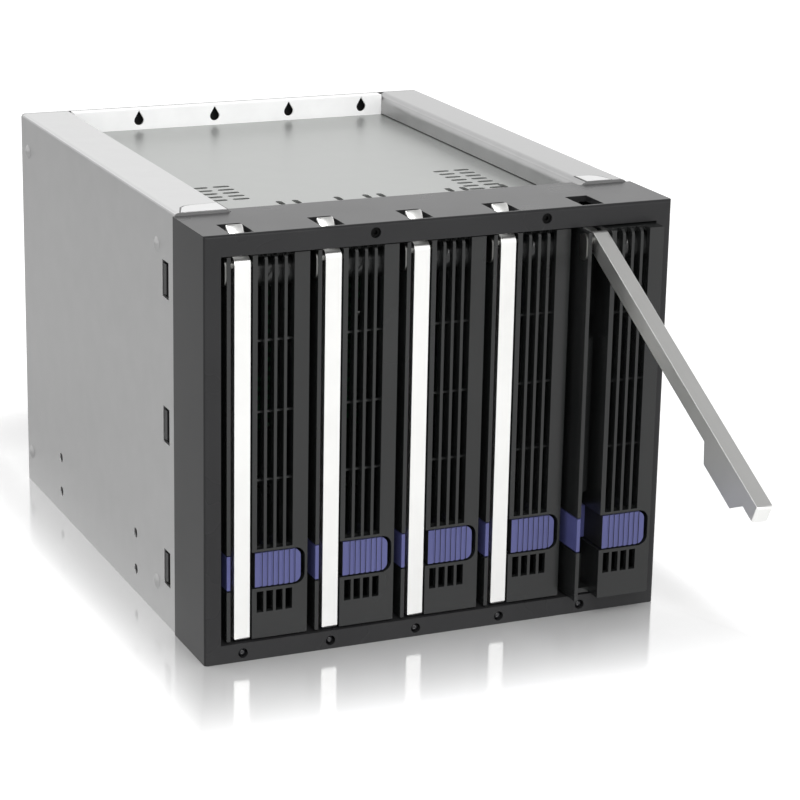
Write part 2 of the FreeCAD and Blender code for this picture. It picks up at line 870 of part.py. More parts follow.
def channel_floor():
    """Floor of the lever's channel above the latch, sloping back at its top, with a shelf before it."""
    front = tray_front + channel_floor_depth
    back = front + channel_floor_thick
    low = latch_high + channel_floor_rise
    high = pivot_height - channel_floor_drop
    slope = channel_floor_slope
    floor = side_profile([(front, low), (back, low), (back + slope, high + slope),
                          (front + slope, high + slope), (front, high)],
                         channel_left - channel_floor_key, channel_right + channel_floor_key)
    shelf_front = tray_front + channel_shelf_depth
    shelf_right = channel_right - channel_shelf_gap
    shelf = block(channel_left - channel_floor_key, shelf_right, shelf_front, back, low, high)
    upright = [edge for edge in shelf.Edges
               if abs(edge.BoundBox.XMin - shelf_right) < same and abs(edge.BoundBox.YMax - shelf_front) < same]
    return joined([floor, shelf.makeFillet(channel_shelf_round, upright)])


def tray():
    """Front box with the lever's channel, then two rails that carry the drive."""
    outer = block(tray_left, tray_right, tray_front, tray_back, tray_low, tray_high)
    hollow = block(vent_left, tray_right - tray_wall, face_back, tray_back + past,
                   tray_low + tray_wall, tray_high - tray_wall)
    channel = block(channel_left, channel_right, tray_front - past, tray_back + past,
                    tray_low + tray_wall, tray_high + past)
    parts = [without(outer, [hollow, channel]), channel_floor()]
    parts.append(block(channel_left - channel_floor_key, channel_right + channel_floor_key,
                       fin_reach + channel_block_gap, tray_back, tray_low, latch_low - channel_block_drop))
    back_frame = block(tray_left, tray_right, tray_back - tray_wall, tray_back, tray_low, tray_high)
    back_hole = block(tray_left + tray_left_wall + sheet, tray_right - tray_wall - sheet, tray_front,
                      tray_back + past, rail_low + rail_thick + sheet, rail_high - rail_thick - sheet)
    parts.append(back_frame.cut(back_hole))
    for low in (rail_low, rail_high - rail_thick):
        parts.append(block(rail_left, rail_right, tray_back - tray_wall, rail_back, low, low + rail_thick))
    body = joined(parts)

    tools = []
    for x in vent_columns():
        tools.append(block(x, x + vent_width, tray_front - past, face_back + past,
                           tray_low + lower_vent_rise, latch_low - lower_vent_gap))
    tools.append(block(vent_left, vent_right, tray_front - past, face_back, grille_low, tray_high + past))
    tools.append(block(vent_left, vent_right, face_back - past, grille_back + insert_gap,
                       tray_high - tray_wall - past, tray_high + past))
    tools.append(block(channel_left, channel_right, tray_front - past, lever_front + lever_depth + slide_gap,
                       tray_low - past, tray_low + tray_wall + past))
    gap = latch_pocket_gap
    pocket_right = latch_pad_right + latch_travel + gap
    pocket = block(tray_left - past, pocket_right, tray_front - past, latch_bridge_back + gap,
                   latch_low - gap, latch_high + gap)
    corners = long_edges(pocket, pocket_right, latch_low - gap)
    corners += long_edges(pocket, pocket_right, latch_high + gap)
    tools.append(pocket.makeFillet(latch_pocket_corner, corners))
    tools.append(rod("x", (pivot_y, pivot_height), pin_radius + pin_gap / 2,
                     tray_left - past, vent_left + past))
    hole_x = drive_left + drive_thick - drive_hole_inset
    hole_y = drive_back - drive_hole_first
    for y in (hole_y, hole_y - drive_hole_spacing):
        tools.append(rod("z", (hole_x, y), drive_hole_radius, rail_low - past, rail_high + past))
    return without(body, tools)


def grille():
    """Vented insert: bars with rounded tops, low ties behind them and a round bar across the top."""
    left = vent_left + insert_gap
    right = vent_right + grille_lip
    parts = []
    for x in vent_columns()[1:]:
        bar = block(x - vent_bar, x, tray_front, grille_back, grille_low, tray_high)
        top_edges = [edge for edge in bar.Edges
                     if abs(edge.BoundBox.YMax - tray_front) < same
                     and abs(edge.BoundBox.ZMin - tray_high) < same]
        parts.append(bar.makeFillet(grille_bar_round, top_edges))
    for rise in grille_tie_rises:
        middle = grille_low + rise
        parts.append(block(left, right, face_back, grille_back,
                           middle - grille_tie_tall / 2, middle + grille_tie_tall / 2))
    parts.append(block(left, right, face_back, grille_back,
                       grille_low - grille_lip, grille_low + grille_lip_rise))
    parts.append(block(vent_right, right, face_back, grille_back, grille_low - grille_lip, roll_height))
    parts.append(rod("x", (face_back + roll_radius, roll_height), roll_radius, left, right))
    return joined(parts)


def lever():
    """Handle drawn shut: a channel bar with a round head, a closed foot and a hook fin."""
    left = lever_left
    right = lever_left + lever_width
    front = lever_front
    back = lever_front + lever_depth
    bar = block(left, right, front, back, lever_low, pivot_height)
    foot_edges = [edge for edge in bar.Edges
                  if abs(edge.BoundBox.ZMax - lever_low) < same and abs(edge.BoundBox.YMin - front) < same]
    bar = bar.makeFillet(lever_foot_round, foot_edges)
    hollow = block(left + lever_skin, right - lever_skin, front + lever_skin, back + past,
                   lever_low + 2 * lever_skin, pivot_height - 2 * pivot_back)
    head = rod("x", (pivot_y, pivot_height), pivot_back, left, right)
    heel = block(left, right, pivot_y, back, pivot_height - 4 * pivot_back, pivot_height)
    fin = side_profile([(front + lever_skin, latch_high + fin_top_rise), (back, latch_high + fin_top_rise),
                        (fin_reach, latch_high + fin_step_rise), (fin_reach, latch_low - fin_back_drop),
                        (back, latch_low - fin_front_drop), (front + lever_skin, latch_low - fin_front_drop)],
                       left, left + fin_thick)
    whole = joined([bar.cut(hollow), head, heel, fin])
    corner = block(left - past, right + past, pivot_y + lever_corner, back + past, pivot_height - pivot_back,
                   pivot_height + past)
    bore = rod("x", (pivot_y, pivot_height), pin_radius + pin_gap, left - past, right + past)
    return without(whole, [corner, bore])


def lever_pin():
    """Pivot pin with an oblong head that hangs down the outside of the tray's left wall."""
    place = (pivot_y, pivot_height)
    head_drop = pin_head_long - 2 * pin_head_radius
    head_left = tray_left - pin_head_thick
    shaft = rod("x", place, pin_radius, head_left, vent_left - pin_end_gap)
    head = [rod("x", (pivot_y, pivot_height - drop), pin_head_radius, head_left, tray_left)
            for drop in (0, head_drop)]
    head.append(block(head_left, tray_left, pivot_y - pin_head_radius, pivot_y + pin_head_radius,
                      pivot_height - head_drop, pivot_height))
    return joined([shaft] + head)


def latch():
    """Slider around the lever: a grooved pad, a finger at the left and a bridge behind."""
    left = tray_left + latch_finger_gap
    pad = block(latch_pad_left, latch_pad_right, latch_front, latch_front + latch_pad_thick,
                latch_low, latch_high)
    corners = long_edges(pad, latch_pad_right, latch_low) + long_edges(pad, latch_pad_right, latch_high)
    pad = pad.makeFillet(latch_corner, corners)
    leg = block(latch_pad_left, latch_pad_left + latch_bridge_thick, latch_front, latch_bridge_back,
                latch_low, latch_high)
    bridge = block(left, latch_pad_left + latch_bridge_thick, latch_bridge_front, latch_bridge_back,
                   latch_low, latch_high)
    finger = block(left, channel_left, latch_front, latch_bridge_back, latch_low, latch_high)
    stub = block(latch_pad_left, latch_pad_left + latch_stub_long, latch_front + latch_pad_thick,
                 latch_front + latch_stub_long, latch_low + latch_stub_inset, latch_high - latch_stub_inset)
    body = joined([pad, leg, bridge, finger, stub])
    grooves = []
    first = (latch_pad_left + latch_pad_right - latch_groove_pitch * (latch_groove_count - 1)) / 2
    for number in range(latch_groove_count):
        grooves.append(rod("z", (first + number * latch_groove_pitch, latch_front), latch_groove_radius,
                           latch_low - past, latch_high + past))
    return without(body, grooves)


def latch_spring():
    """Folded strip between the latch's stub and the tray's right wall."""
    start = latch_pad_left + latch_stub_long + latch_travel + latch_pocket_gap / 2
    end = tray_right - tray_wall
    low = (latch_low + latch_high - spring_tall) / 2
    y_near = latch_front + latch_pad_thick + latch_pocket_gap
    y_far = y_near + spring_width
    step = (end - start) / spring_fold_count
    points = []
    for fold in range(spring_fold_count + 1):
        points.append((start + fold * step, y_near if fold % 2 == 0 else y_far))
    forward = [Vector(x, y, low) for x, y in points]
    back = [Vector(x, y + spring_thick, low) for x, y in reversed(points)]
    ring = Part.makePolygon(forward + back + forward[:1])
    return Part.Face(ring).extrude(Vector(0, 0, spring_tall))


def export(name, shape):
    """Writes one node, moved to the frame whose origin is the centre of the underside."""
    shape = shape.copy()
    shape.translate(Vector(0, -datum_y, 0))
    shape.exportStep(os.path.join("parts", name + ".step"))
    print(name, len(shape.Solids), "valid" if shape.isValid() else "NOT VALID")


def export_bays():
    """Five equal trays; the last stands part way out with its lever swung open."""
    tray_parts = {"tray": tray(), "grille": grille(), "lever_pin": lever_pin(),
                  "latch": latch(), "latch_spring": latch_spring(), "lever": lever()}
    for bay in range(bay_count):
        last = bay == bay_count - 1
        for name, shape in tray_parts.items():
            placed = shape.copy()
            if last and name == "lever":
                placed.rotate(Vector(0, pivot_y, pivot_height), Vector(1, 0, 0), -open_angle)
            placed.translate(Vector(bay_left(bay), -open_tray_out if last else 0, 0))
            export(name + "_" + str(bay + 1), placed)


os.makedirs("parts", exist_ok=True)
export("side_panel_left", side_panel(-1))
export("side_panel_right", side_panel(1))
export("base_panel", base_panel())
export("top_cover", top_cover())
export("rear_wall", rear_wall())
export("front_bezel", front_bezel())
export("bezel_screws", bezel_screws())
export("bay_lights", bay_lights())
export("light_board", light_board())
export("guide_lower", guide(case_floor, rail_low))
export("guide_upper", guide(case_ceiling, rail_high))
export("backplane", backplane())
export("drive_sockets", drive_sockets())
export("backplane_standoffs", backplane_standoffs())
export("backplane_screws", backplane_screws())
export("rear_panel", rear_panel())
export("case_screws", case_screws())
export("data_ports", data_ports())
export("power_ports", power_ports())
export("fan_frame", fan_frame())
export("fan_rotor", fan_rotor())
export("fan_guard", fan_guard())
export("fan_screws", fan_screws())
export_bays()
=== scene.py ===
# %% [markdown]
# # A hot swap drive cage
#
# The object is a steel box with a deep black bezel and five upright trays for
# hard drives. The fifth tray stands a little out, with its silver lever swung
# open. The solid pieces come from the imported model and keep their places.
# This file rounds their edges, gives each surface its finish, adds small
# pressed and moulded details, and lights the cage on a pale table.

import json
import math

import bmesh
import bpy
import numpy as np
from mathutils import Matrix, Vector

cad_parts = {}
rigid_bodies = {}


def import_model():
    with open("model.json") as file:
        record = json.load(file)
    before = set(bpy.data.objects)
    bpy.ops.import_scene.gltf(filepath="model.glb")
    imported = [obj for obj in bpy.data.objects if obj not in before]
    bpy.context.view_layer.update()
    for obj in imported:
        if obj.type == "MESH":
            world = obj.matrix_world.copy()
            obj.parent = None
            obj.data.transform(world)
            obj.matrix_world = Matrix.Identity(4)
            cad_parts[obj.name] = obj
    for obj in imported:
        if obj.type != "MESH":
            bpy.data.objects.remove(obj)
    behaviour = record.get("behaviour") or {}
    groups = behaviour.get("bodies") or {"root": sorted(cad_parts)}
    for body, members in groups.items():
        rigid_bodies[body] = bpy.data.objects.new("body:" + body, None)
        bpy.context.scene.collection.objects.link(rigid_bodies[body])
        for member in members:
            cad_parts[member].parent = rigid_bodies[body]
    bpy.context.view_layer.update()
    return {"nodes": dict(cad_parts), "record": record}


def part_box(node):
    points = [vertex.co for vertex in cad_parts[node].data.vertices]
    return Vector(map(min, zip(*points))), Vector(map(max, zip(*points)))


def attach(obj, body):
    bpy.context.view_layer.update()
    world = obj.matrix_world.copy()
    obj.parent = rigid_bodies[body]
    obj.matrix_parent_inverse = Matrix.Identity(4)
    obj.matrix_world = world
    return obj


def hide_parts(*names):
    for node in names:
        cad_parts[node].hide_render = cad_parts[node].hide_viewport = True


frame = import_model()
nodes = frame["nodes"]
print("nodes:", len(nodes))

# %% [markdown]
# Sizes below are in millimetres, as a maker would write them, and become
# metres at the last moment. The drawing's y counts back from the front of
# the bezel, while the model's origin is the middle of the underside. One
# helper moves rows of points from the first to the second, so that each
# new piece can be worked out as a whole array.

# %% Units and places
MM = 0.001
bay_count = 5
bay_pitch = 27.6
opening_half = bay_count * bay_pitch / 2
lever_middle = 6.85
bezel_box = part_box("front_bezel")
case_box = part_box("side_panel_left")
front_y = bezel_box[0][1]
case_half = -case_box[0][0] / MM
case_top = case_box[1][2] / MM


def bay_left(bay):
    """Left side of a bay, in millimetres from the middle of the cage."""
    return bay * bay_pitch - opening_half


def placed(points):
    """Rows of x, y, z in millimetres behind the bezel's front, as metres in the model."""
    return np.asarray(points, dtype=float) * MM + (0.0, front_y, 0.0)


print("front of the bezel at y =", round(front_y, 4), "m")
print("half width of the case:", round(case_half, 2), "mm")

# %% [markdown]
# Every finish is a small tree of shader nodes. Such a tree could be drawn by
# hand in the Shader Editor, but code keeps it exact and easy to repeat.
# Colours are written as sRGB hex values, because that is how a paint chart or
# a screen shows them. One function turns them into the linear values that a
# renderer adds up, and another adds a node with its settings and links.

# %% Colours and shader nodes


def linear(hex_colour):
    """sRGB hex to linear: c/12.92 up to 0.04045, else ((c+0.055)/1.055)^2.4."""
    text = hex_colour.lstrip("#")
    channels = [int(text[i:i + 2], 16) / 255 for i in (0, 2, 4)]
    straight = [c / 12.92 if c <= 0.04045 else ((c + 0.055) / 1.055) ** 2.4 for c in channels]
    return (*straight, 1.0)


def add(tree, kind, settings=None, inputs=None, links=None):
    """Adds a node, sets its properties and sockets, and links other nodes' outputs into it."""
    node = tree.nodes.new(kind)
    for name, value in (settings or {}).items():
        setattr(node, name, value)
    for name, value in (inputs or {}).items():
        node.inputs[name].default_value = value
    for name, output in (links or {}).items():
        tree.links.new(output, node.inputs[name])
    return node


def new_material(name):
    """An empty material, its tree and its output node."""
    material = bpy.data.materials.new(name)
    material.use_nodes = True
    tree = material.node_tree
    tree.nodes.clear()
    return material, tree, add(tree, "ShaderNodeOutputMaterial")


print("zinc grey in linear light:", [round(value, 3) for value in linear("#A4A4A4")[:3]])

# %% [markdown]
# No real surface has one even colour. Two patterns are used over and over:
# a cloud, which is noise with blotches of a given size in millimetres, and a
# pair of shades that the cloud blends. Both read Object coordinates, so a
# pattern keeps its size on small and large pieces alike and stays in place
# when a tray slides.

# %% Clouds and shades


def speckle(tree, grain_mm, detail=2.0, stretch=(1, 1, 1)):
    """Noise in object coordinates with one blotch about every grain_mm millimetres."""
    coords = add(tree, "ShaderNodeTexCoord")
    mapped = add(tree, "ShaderNodeMapping", inputs={"Scale": stretch},
                 links={"Vector": coords.outputs["Object"]})
    return add(tree, "ShaderNodeTexNoise", inputs={"Scale": 1 / (grain_mm * MM), "Detail": detail},
               links={"Vector": mapped.outputs["Vector"]})


def shades(tree, factor, dark, light, start=0.3, end=0.7):
    """Blends two hex colours as the factor rises from start to end."""
    ramp = add(tree, "ShaderNodeValToRGB", links={"Fac": factor})
    for stop, place, colour in zip(ramp.color_ramp.elements, (start, end), (dark, light)):
        stop.position = place
        stop.color = linear(colour)
    return ramp.outputs["Color"]


grain_depth = 0.03 * MM
print("grain is", grain_depth / MM, "mm deep")

# %% [markdown]
# ## Zinc coated sheet
#
# The case is thin steel sheet that was rolled and then dipped in zinc. New
# zinc is pale grey, half way between paint and metal to the eye, and its
# crystals make faint blotches some nine millimetres across. A plain grey
# would look like plastic and a full mirror metal like chrome, so the sheet is
# mostly metallic with a satin roughness. The tops of the folded ledges get
# lighter shades than the flat sides, the left ledge lighter than the right,
# and the strip at the back is nearly white and barely metallic: this is
# painted light, for how the light falls on them and what they mirror.

# %% Zinc coated sheet
zinc_blotch = 9.0
rolled_grain = 0.5
rolled_stretch = (1, 0.15, 1)
zinc_rough = (0.30, 0.38)
zinc_bump = 0.12


def zinc_sheet(name, dark, light, metal):
    """Sheet steel with a zinc coat: broad pale blotches and a fine grain, long in the rolling direction."""
    material, tree, output = new_material(name)
    blotch = speckle(tree, zinc_blotch, detail=3.0)
    grain = speckle(tree, rolled_grain, stretch=rolled_stretch)
    colour = shades(tree, blotch.outputs["Fac"], dark, light)
    rough = add(tree, "ShaderNodeMapRange", inputs={"To Min": zinc_rough[0], "To Max": zinc_rough[1]},
                links={"Value": blotch.outputs["Fac"]})
    bump = add(tree, "ShaderNodeBump", inputs={"Strength": zinc_bump, "Distance": grain_depth},
               links={"Height": grain.outputs["Fac"]})
    shader = add(tree, "ShaderNodeBsdfPrincipled", inputs={"Metallic": metal},
                 links={"Base Color": colour, "Roughness": rough.outputs["Result"],
                        "Normal": bump.outputs["Normal"]})
    tree.links.new(shader.outputs["BSDF"], output.inputs["Surface"])
    return material


# Painted light: the ledge tops are lighter copies of the side zinc, and the rear strip a nearly white one.
ledge_zinc_left_painted_light = zinc_sheet("zinc_left_ledge_painted_light", "#CACACA", "#D0D0D0", 0.85)
ledge_zinc_right_painted_light = zinc_sheet("zinc_right_ledge_painted_light", "#B2B2B2", "#B8B8B8", 0.85)
case_zinc = zinc_sheet("zinc_coated_sheet", "#A1A1A1", "#A7A7A7", 0.85)
top_zinc = zinc_sheet("zinc_coated_top", "#A9ABA9", "#AFB1AF", 0.75)
rear_strip_painted_light = zinc_sheet("rear_strip_zinc_painted_light", "#F6F6F6", "#FCFCFC", 0.1)
print("sheet finishes: 5")

# %% [markdown]
# ## Moulded plastic
#
# The bezel, the trays and the latches are ABS from a steel mould whose walls
# were roughened by sparks. That leaves a fine even grain, which spreads the
# highlight but keeps it bright at low angles. The real grain is about 0.1 mm.
# It is drawn at 0.35 mm, the finest that still shows at this distance. The
# plastic is near black, never quite black, and a slow cloud in its colour
# and roughness keeps wide faces from looking painted on.

# %% Moulded plastic
spark_grain = 0.35
mould_cloud = 25.0
mould_bump = 0.10
rough_swing = 0.04
plastic_ior = 1.5


def moulded(name, dark, light, rough, gloss=0.5):
    """ABS from a spark-eroded mould: satin, with a fine even grain and a slow cloud."""
    material, tree, output = new_material(name)
    grain = speckle(tree, spark_grain)
    cloud = speckle(tree, mould_cloud)
    colour = shades(tree, cloud.outputs["Fac"], dark, light)
    roughness = add(tree, "ShaderNodeMapRange",
                    inputs={"To Min": rough - rough_swing, "To Max": rough + rough_swing},
                    links={"Value": cloud.outputs["Fac"]})
    bump = add(tree, "ShaderNodeBump", inputs={"Strength": mould_bump, "Distance": grain_depth},
               links={"Height": grain.outputs["Fac"]})
    shader = add(tree, "ShaderNodeBsdfPrincipled", inputs={"IOR": plastic_ior, "Specular IOR Level": gloss},
                 links={"Base Color": colour, "Roughness": roughness.outputs["Result"],
                        "Normal": bump.outputs["Normal"]})
    tree.links.new(shader.outputs["BSDF"], output.inputs["Surface"])
    return material


bezel_black = moulded("moulded_abs_bezel", "#272728", "#2B2B2C", 0.28, gloss=0.23)
# Painted shade: the bezel's sides are a darker, less glossy copy of its black.
bezel_side_painted_shade = moulded("moulded_abs_bezel_sides_painted_shade", "#232324", "#272728", 0.34, gloss=0.13)
tray_black = moulded("moulded_abs_tray", "#1C1D1D", "#202121", 0.24)
# Black of the inner mouldings, also used as painted shade on the back panel's inner face and the latch
# legs.
inner_black_and_painted_shade = moulded("moulded_abs_inside_and_painted_shade", "#101010", "#141414", 0.6)
violet = moulded("moulded_violet_latch", "#4A4D7D", "#525586", 0.3)
port_black = moulded("moulded_port_body", "#151515", "#1B1B1B", 0.45)
lens_dark = moulded("smoked_lens", "#1A1A1C", "#222225", 0.12)
print("moulded finishes: 7")

# %% [markdown]
# ## Silver paint and bare steel
#
# The levers are die cast and sprayed silver. The flakes in the paint lie
# nearly flat and make it a soft mirror, so a lever that faces the bright
# table looks white and one that faces the ceiling looks grey. A fully
# metallic surface with a satin roughness does the same, and a flake pattern
# makes the roughness flicker. Plated screws and the steel of the pins come
# from the same recipe with less grain of colour and another roughness.

# %% Silver paint and bare steel
flake_size = 0.6
paint_cloud = 12.0
flake_bump = 0.06
flake_swing = 0.05


def silver_paint(name, dark, light, rough):
    """Metallic coat: a metal with flakes in its roughness and a slow cloud in its colour."""
    material, tree, output = new_material(name)
    flake = speckle(tree, flake_size, detail=1.0)
    cloud = speckle(tree, paint_cloud)
    colour = shades(tree, cloud.outputs["Fac"], dark, light)
    roughness = add(tree, "ShaderNodeMapRange",
                    inputs={"To Min": rough - flake_swing, "To Max": rough + flake_swing},
                    links={"Value": flake.outputs["Fac"]})
    bump = add(tree, "ShaderNodeBump", inputs={"Strength": flake_bump, "Distance": grain_depth},
               links={"Height": flake.outputs["Fac"]})
    shader = add(tree, "ShaderNodeBsdfPrincipled", inputs={"Metallic": 1.0},
                 links={"Base Color": colour, "Roughness": roughness.outputs["Result"],
                        "Normal": bump.outputs["Normal"]})
    tree.links.new(shader.outputs["BSDF"], output.inputs["Surface"])
    return material


silver = silver_paint("silver_metallic_paint", "#F6F6F4", "#FAFAF8", 0.34)
plated = silver_paint("bright_plated_steel", "#BEBEC0", "#CFCFD1", 0.22)
pin_steel = silver_paint("phosphated_pin_steel", "#6E6E6C", "#7C7C7A", 0.35)
black_oxide = silver_paint("black_oxide_screw", "#141414", "#1A1A1A", 0.4)
print("metal finishes: 4")

# %% [markdown]
# ## Circuit board
#
# A board is glass fibre with copper tracks under a glossy green coat. Over
# copper the coat looks lighter. Straight bands some 3.5 mm apart stand for
# bundles of tracks, since single ones are too fine to show, and a clear coat
# on top gives the wet shine.

# %% Circuit board
track_scale = 90.0
board_rough = 0.3
board_coat = 0.4


def circuit_board(name):
    """Green coat over copper: lighter in straight bands, where tracks run."""
    material, tree, output = new_material(name)
    coords = add(tree, "ShaderNodeTexCoord")
    tracks = add(tree, "ShaderNodeTexWave", {"wave_type": "BANDS", "bands_direction": "Z"},
                 {"Scale": track_scale, "Distortion": 0.0}, {"Vector": coords.outputs["Object"]})
    colour = shades(tree, tracks.outputs["Fac"], "#0F3B22", "#1C5A36", start=0.45, end=0.55)
    shader = add(tree, "ShaderNodeBsdfPrincipled",
                 inputs={"Roughness": board_rough, "IOR": plastic_ior, "Coat Weight": board_coat},
                 links={"Base Color": colour})
    tree.links.new(shader.outputs["BSDF"], output.inputs["Surface"])
    return material


mask_green = circuit_board("green_solder_mask")
print("board finish:", mask_green.name)

# %% [markdown]
# ## Rounded edges
#
# Sheet metal, castings and mouldings never have knife edges, and a thin
# bright line along each edge is what makes them read as real. The packed
# solids are sharp. A shader can fake a round edge, but then the mesh stays
# sharp in a close view, so real bevels are used. A copy of each visible solid
# has its flat triangles joined into whole faces, because a bevel would else
# run along every triangle. A Bevel modifier rounds the copy's edges, and
# weighted normals keep its wide faces flat to the eye. The copy rides on the
# same body as the node and stands for it.

# %% Whole faces and the outline of the bezel's front
same_spot = 1e-6
same_plane = math.radians(1.0)
outline_steps = 4


def outer_front_edges(work):
    """Edges of a mesh that lie on its front face and also on its left, right or top face."""
    spots = np.array([vert.co[:] for vert in work.verts])
    low, high = spots.min(axis=0), spots.max(axis=0)
    chosen = []
    for edge in work.edges:
        ends = np.array([vert.co[:] for vert in edge.verts])
        if np.any(abs(ends[:, 1] - low[1]) > same_spot):
            continue
        for axis, limit in ((0, low[0]), (0, high[0]), (2, high[2])):
            if np.all(abs(ends[:, axis] - limit) < same_spot):
                chosen.append(edge)
    return chosen


def joined_faces(mesh, outer_mm):
    """Merges a mesh's triangles into whole faces, and rounds the outline of its front by outer_mm."""
    work = bmesh.new()
    work.from_mesh(mesh)
    bmesh.ops.remove_doubles(work, verts=work.verts, dist=same_spot)
    bmesh.ops.dissolve_limit(work, angle_limit=same_plane, verts=work.verts, edges=work.edges)
    if outer_mm:
        bmesh.ops.bevel(work, geom=outer_front_edges(work), offset=outer_mm * MM, offset_type="OFFSET",
                        segments=outline_steps, profile=0.5, affect="EDGES")
    work.to_mesh(mesh)
    work.free()


print("edges within", same_spot / MM, "mm of a plane count as on it")

# %% A copy of a node with rounded edges
bodies = frame["record"]["behaviour"]["bodies"]
node_bodies = {node: body for body, names in bodies.items() for node in names}
sharp_corner = math.radians(30)
bevel_steps = 2


def softened(node, width_mm, material, second=None, takes_second=None, outer_mm=0.0):
    """Copies a node, joins its faces and bevels edges sharper than 30 degrees.

    Faces that takes_second picks get the second material. outer_mm rounds the outline of the front.
    """
    mesh = nodes[node].data.copy()
    joined_faces(mesh, outer_mm)
    piece = bpy.data.objects.new("soft_" + node, mesh)
    bpy.context.collection.objects.link(piece)
    mesh.materials.clear()
    mesh.materials.append(material)
    if second:
        mesh.materials.append(second)
        for face in mesh.polygons:
            face.material_index = int(takes_second(face))
    mesh.polygons.foreach_set("use_smooth", np.ones(len(mesh.polygons), dtype=bool))
    bevel = piece.modifiers.new("rounding", "BEVEL")
    bevel.width = width_mm * MM
    bevel.segments = bevel_steps
    bevel.limit_method = "ANGLE"
    bevel.angle_limit = sharp_corner
    bevel.use_clamp_overlap = True
    weighted = piece.modifiers.new("flat faces", "WEIGHTED_NORMAL")
    weighted.mode = "FACE_AREA"
    weighted.weight = 50
    weighted.keep_sharp = True
    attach(piece, node_bodies[node])
    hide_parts(node)
    return piece


def paint(node, material):
    """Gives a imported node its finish."""
    mesh = nodes[node].data
    mesh.materials.clear()
    mesh.materials.append(material)


print("nodes with a body:", len(node_bodies))

# %% [markdown]
# ## The case and the bezel
#
# Folded sheet has small round bends, and the bezel is moulded with a softer
# outline round its front. The ledge tops get painted light, and the sides of
# the bezel and the inner face of the back panel get painted shade, each as a
# second material that is picked by the way a face looks. The inside of the back
# panel lies in deep shade behind the keyholes, so it is painted nearly black.

# %% The case and the bezel
facing = 0.7
fold_edge, panel_edge, strip_edge = 0.35, 0.2, 0.3
bezel_edge, bezel_outline, fan_edge = 0.3, 1.1, 0.4


def looks_up(face):
    return face.normal.z > facing


def looks_sideways(face):
    return abs(face.normal.x) > facing


def looks_forward(face):
    return face.normal.y < -facing


# The ledge tops take the lighter zinc as painted light.
softened("side_panel_left", fold_edge, case_zinc, second=ledge_zinc_left_painted_light, takes_second=looks_up)
softened("side_panel_right", fold_edge, case_zinc, second=ledge_zinc_right_painted_light, takes_second=looks_up)
# The inner face of the back panel takes black as painted shade.
softened("rear_panel", panel_edge, case_zinc, second=inner_black_and_painted_shade, takes_second=looks_forward)
# The bezel's sides take the darker black as painted shade.
softened("front_bezel", bezel_edge, bezel_black, second=bezel_side_painted_shade, takes_second=looks_sideways,
         outer_mm=bezel_outline)
# The rear strip's near white is painted light.
softened("rear_wall", strip_edge, rear_strip_painted_light)
softened("fan_frame", fan_edge, port_black)
print("case pieces with rounded edges: 6")

# %% [markdown]
# Flat covers, screws, boards and rails show no edge wide enough for a bevel
# to matter at this distance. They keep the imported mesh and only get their
# finish.

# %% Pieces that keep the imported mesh
plain = {
    "base_panel": case_zinc, "top_cover": top_zinc, "bezel_screws": black_oxide, "bay_lights": lens_dark,
    "light_board": mask_green, "guide_lower": inner_black_and_painted_shade, "guide_upper": inner_black_and_painted_shade,
    "backplane": mask_green, "drive_sockets": port_black, "backplane_standoffs": plated,
    "backplane_screws": plated, "case_screws": plated, "data_ports": port_black,
    "power_ports": port_black, "fan_rotor": port_black, "fan_guard": plated, "fan_screws": black_oxide,
}
for node, material in plain.items():
    paint(node, material)
print("painted nodes:", len(plain))

# %% [markdown]
# ## The five bays
#
# Each bay has a tray, a vented insert, a lever on its pin, a violet latch and
# the latch's spring. The bars of the insert are too thin for a bevel. The
# latch is one moulding, but its legs lie in the shade of the tray, so the
# faces of the legs are painted black as shade.

# %% The five bays
latch_leg_left = 10.5
tray_edge, lever_edge, latch_edge = 0.25, 0.45, 0.35


def finish_bay(bay):
    """Rounds or paints the six nodes of one bay."""
    number = str(bay + 1)
    leg_x = (bay_left(bay) + latch_leg_left) * MM

    def leg_in_painted_shade(face):
        return face.normal.x < -facing and face.center.x > leg_x

    softened("tray_" + number, tray_edge, tray_black)
    paint("grille_" + number, tray_black)
    softened("lever_" + number, lever_edge, silver)
    # The legs' faces take black as painted shade.
    softened("latch_" + number, latch_edge, violet, second=inner_black_and_painted_shade, takes_second=leg_in_painted_shade)
    paint("lever_pin_" + number, pin_steel)
    paint("latch_spring_" + number, plated)


for bay in range(bay_count):
    finish_bay(bay)
print("bays finished:", bay_count)

# %% [markdown]
# ## Small pieces made here
#
# The pieces below are worked out with numpy. Some are a flat outline that is
# carried straight along an axis, as sheet is cut or metal is drawn. The
# others are turned shapes: rings of points round an axis, joined by
# four-sided faces. Two helpers give the faces for these two families, and
# a third puts points and faces into a mesh.

# %% Meshes from points and faces


def new_piece(name, points, faces, material, smooth=True, rounding_mm=0.0):
    """A mesh object from points and faces, with its edges rounded where rounding_mm is given."""
    mesh = bpy.data.meshes.new(name)
    mesh.from_pydata(placed(points).tolist(), [], faces)
    mesh.materials.append(material)
    mesh.polygons.foreach_set("use_smooth", np.full(len(mesh.polygons), smooth))
    piece = bpy.data.objects.new(name, mesh)
    bpy.context.collection.objects.link(piece)
    if rounding_mm:
        bevel = piece.modifiers.new("rounding", "BEVEL")
        bevel.width = rounding_mm * MM
        bevel.segments = bevel_steps
    return piece


def carried(outline, start, end, axis):
    """Carries a flat outline straight from start to end along an axis, 0 for x and 2 for z.

    The first rows are the outline at start and the rest are the same outline at end. Each
    of the two is one face, and each edge of the outline sweeps one wall between them.
    """
    outline = np.asarray(outline, dtype=float)
    count = len(outline)
    points = np.insert(np.vstack((outline, outline)), axis, np.repeat((start, end), count), axis=1)
    near = np.arange(count)
    after = np.roll(near, -1)
    walls = np.column_stack((near, after, count + after, count + near))
    return points, [near[::-1].tolist(), (count + near).tolist()] + walls.tolist()


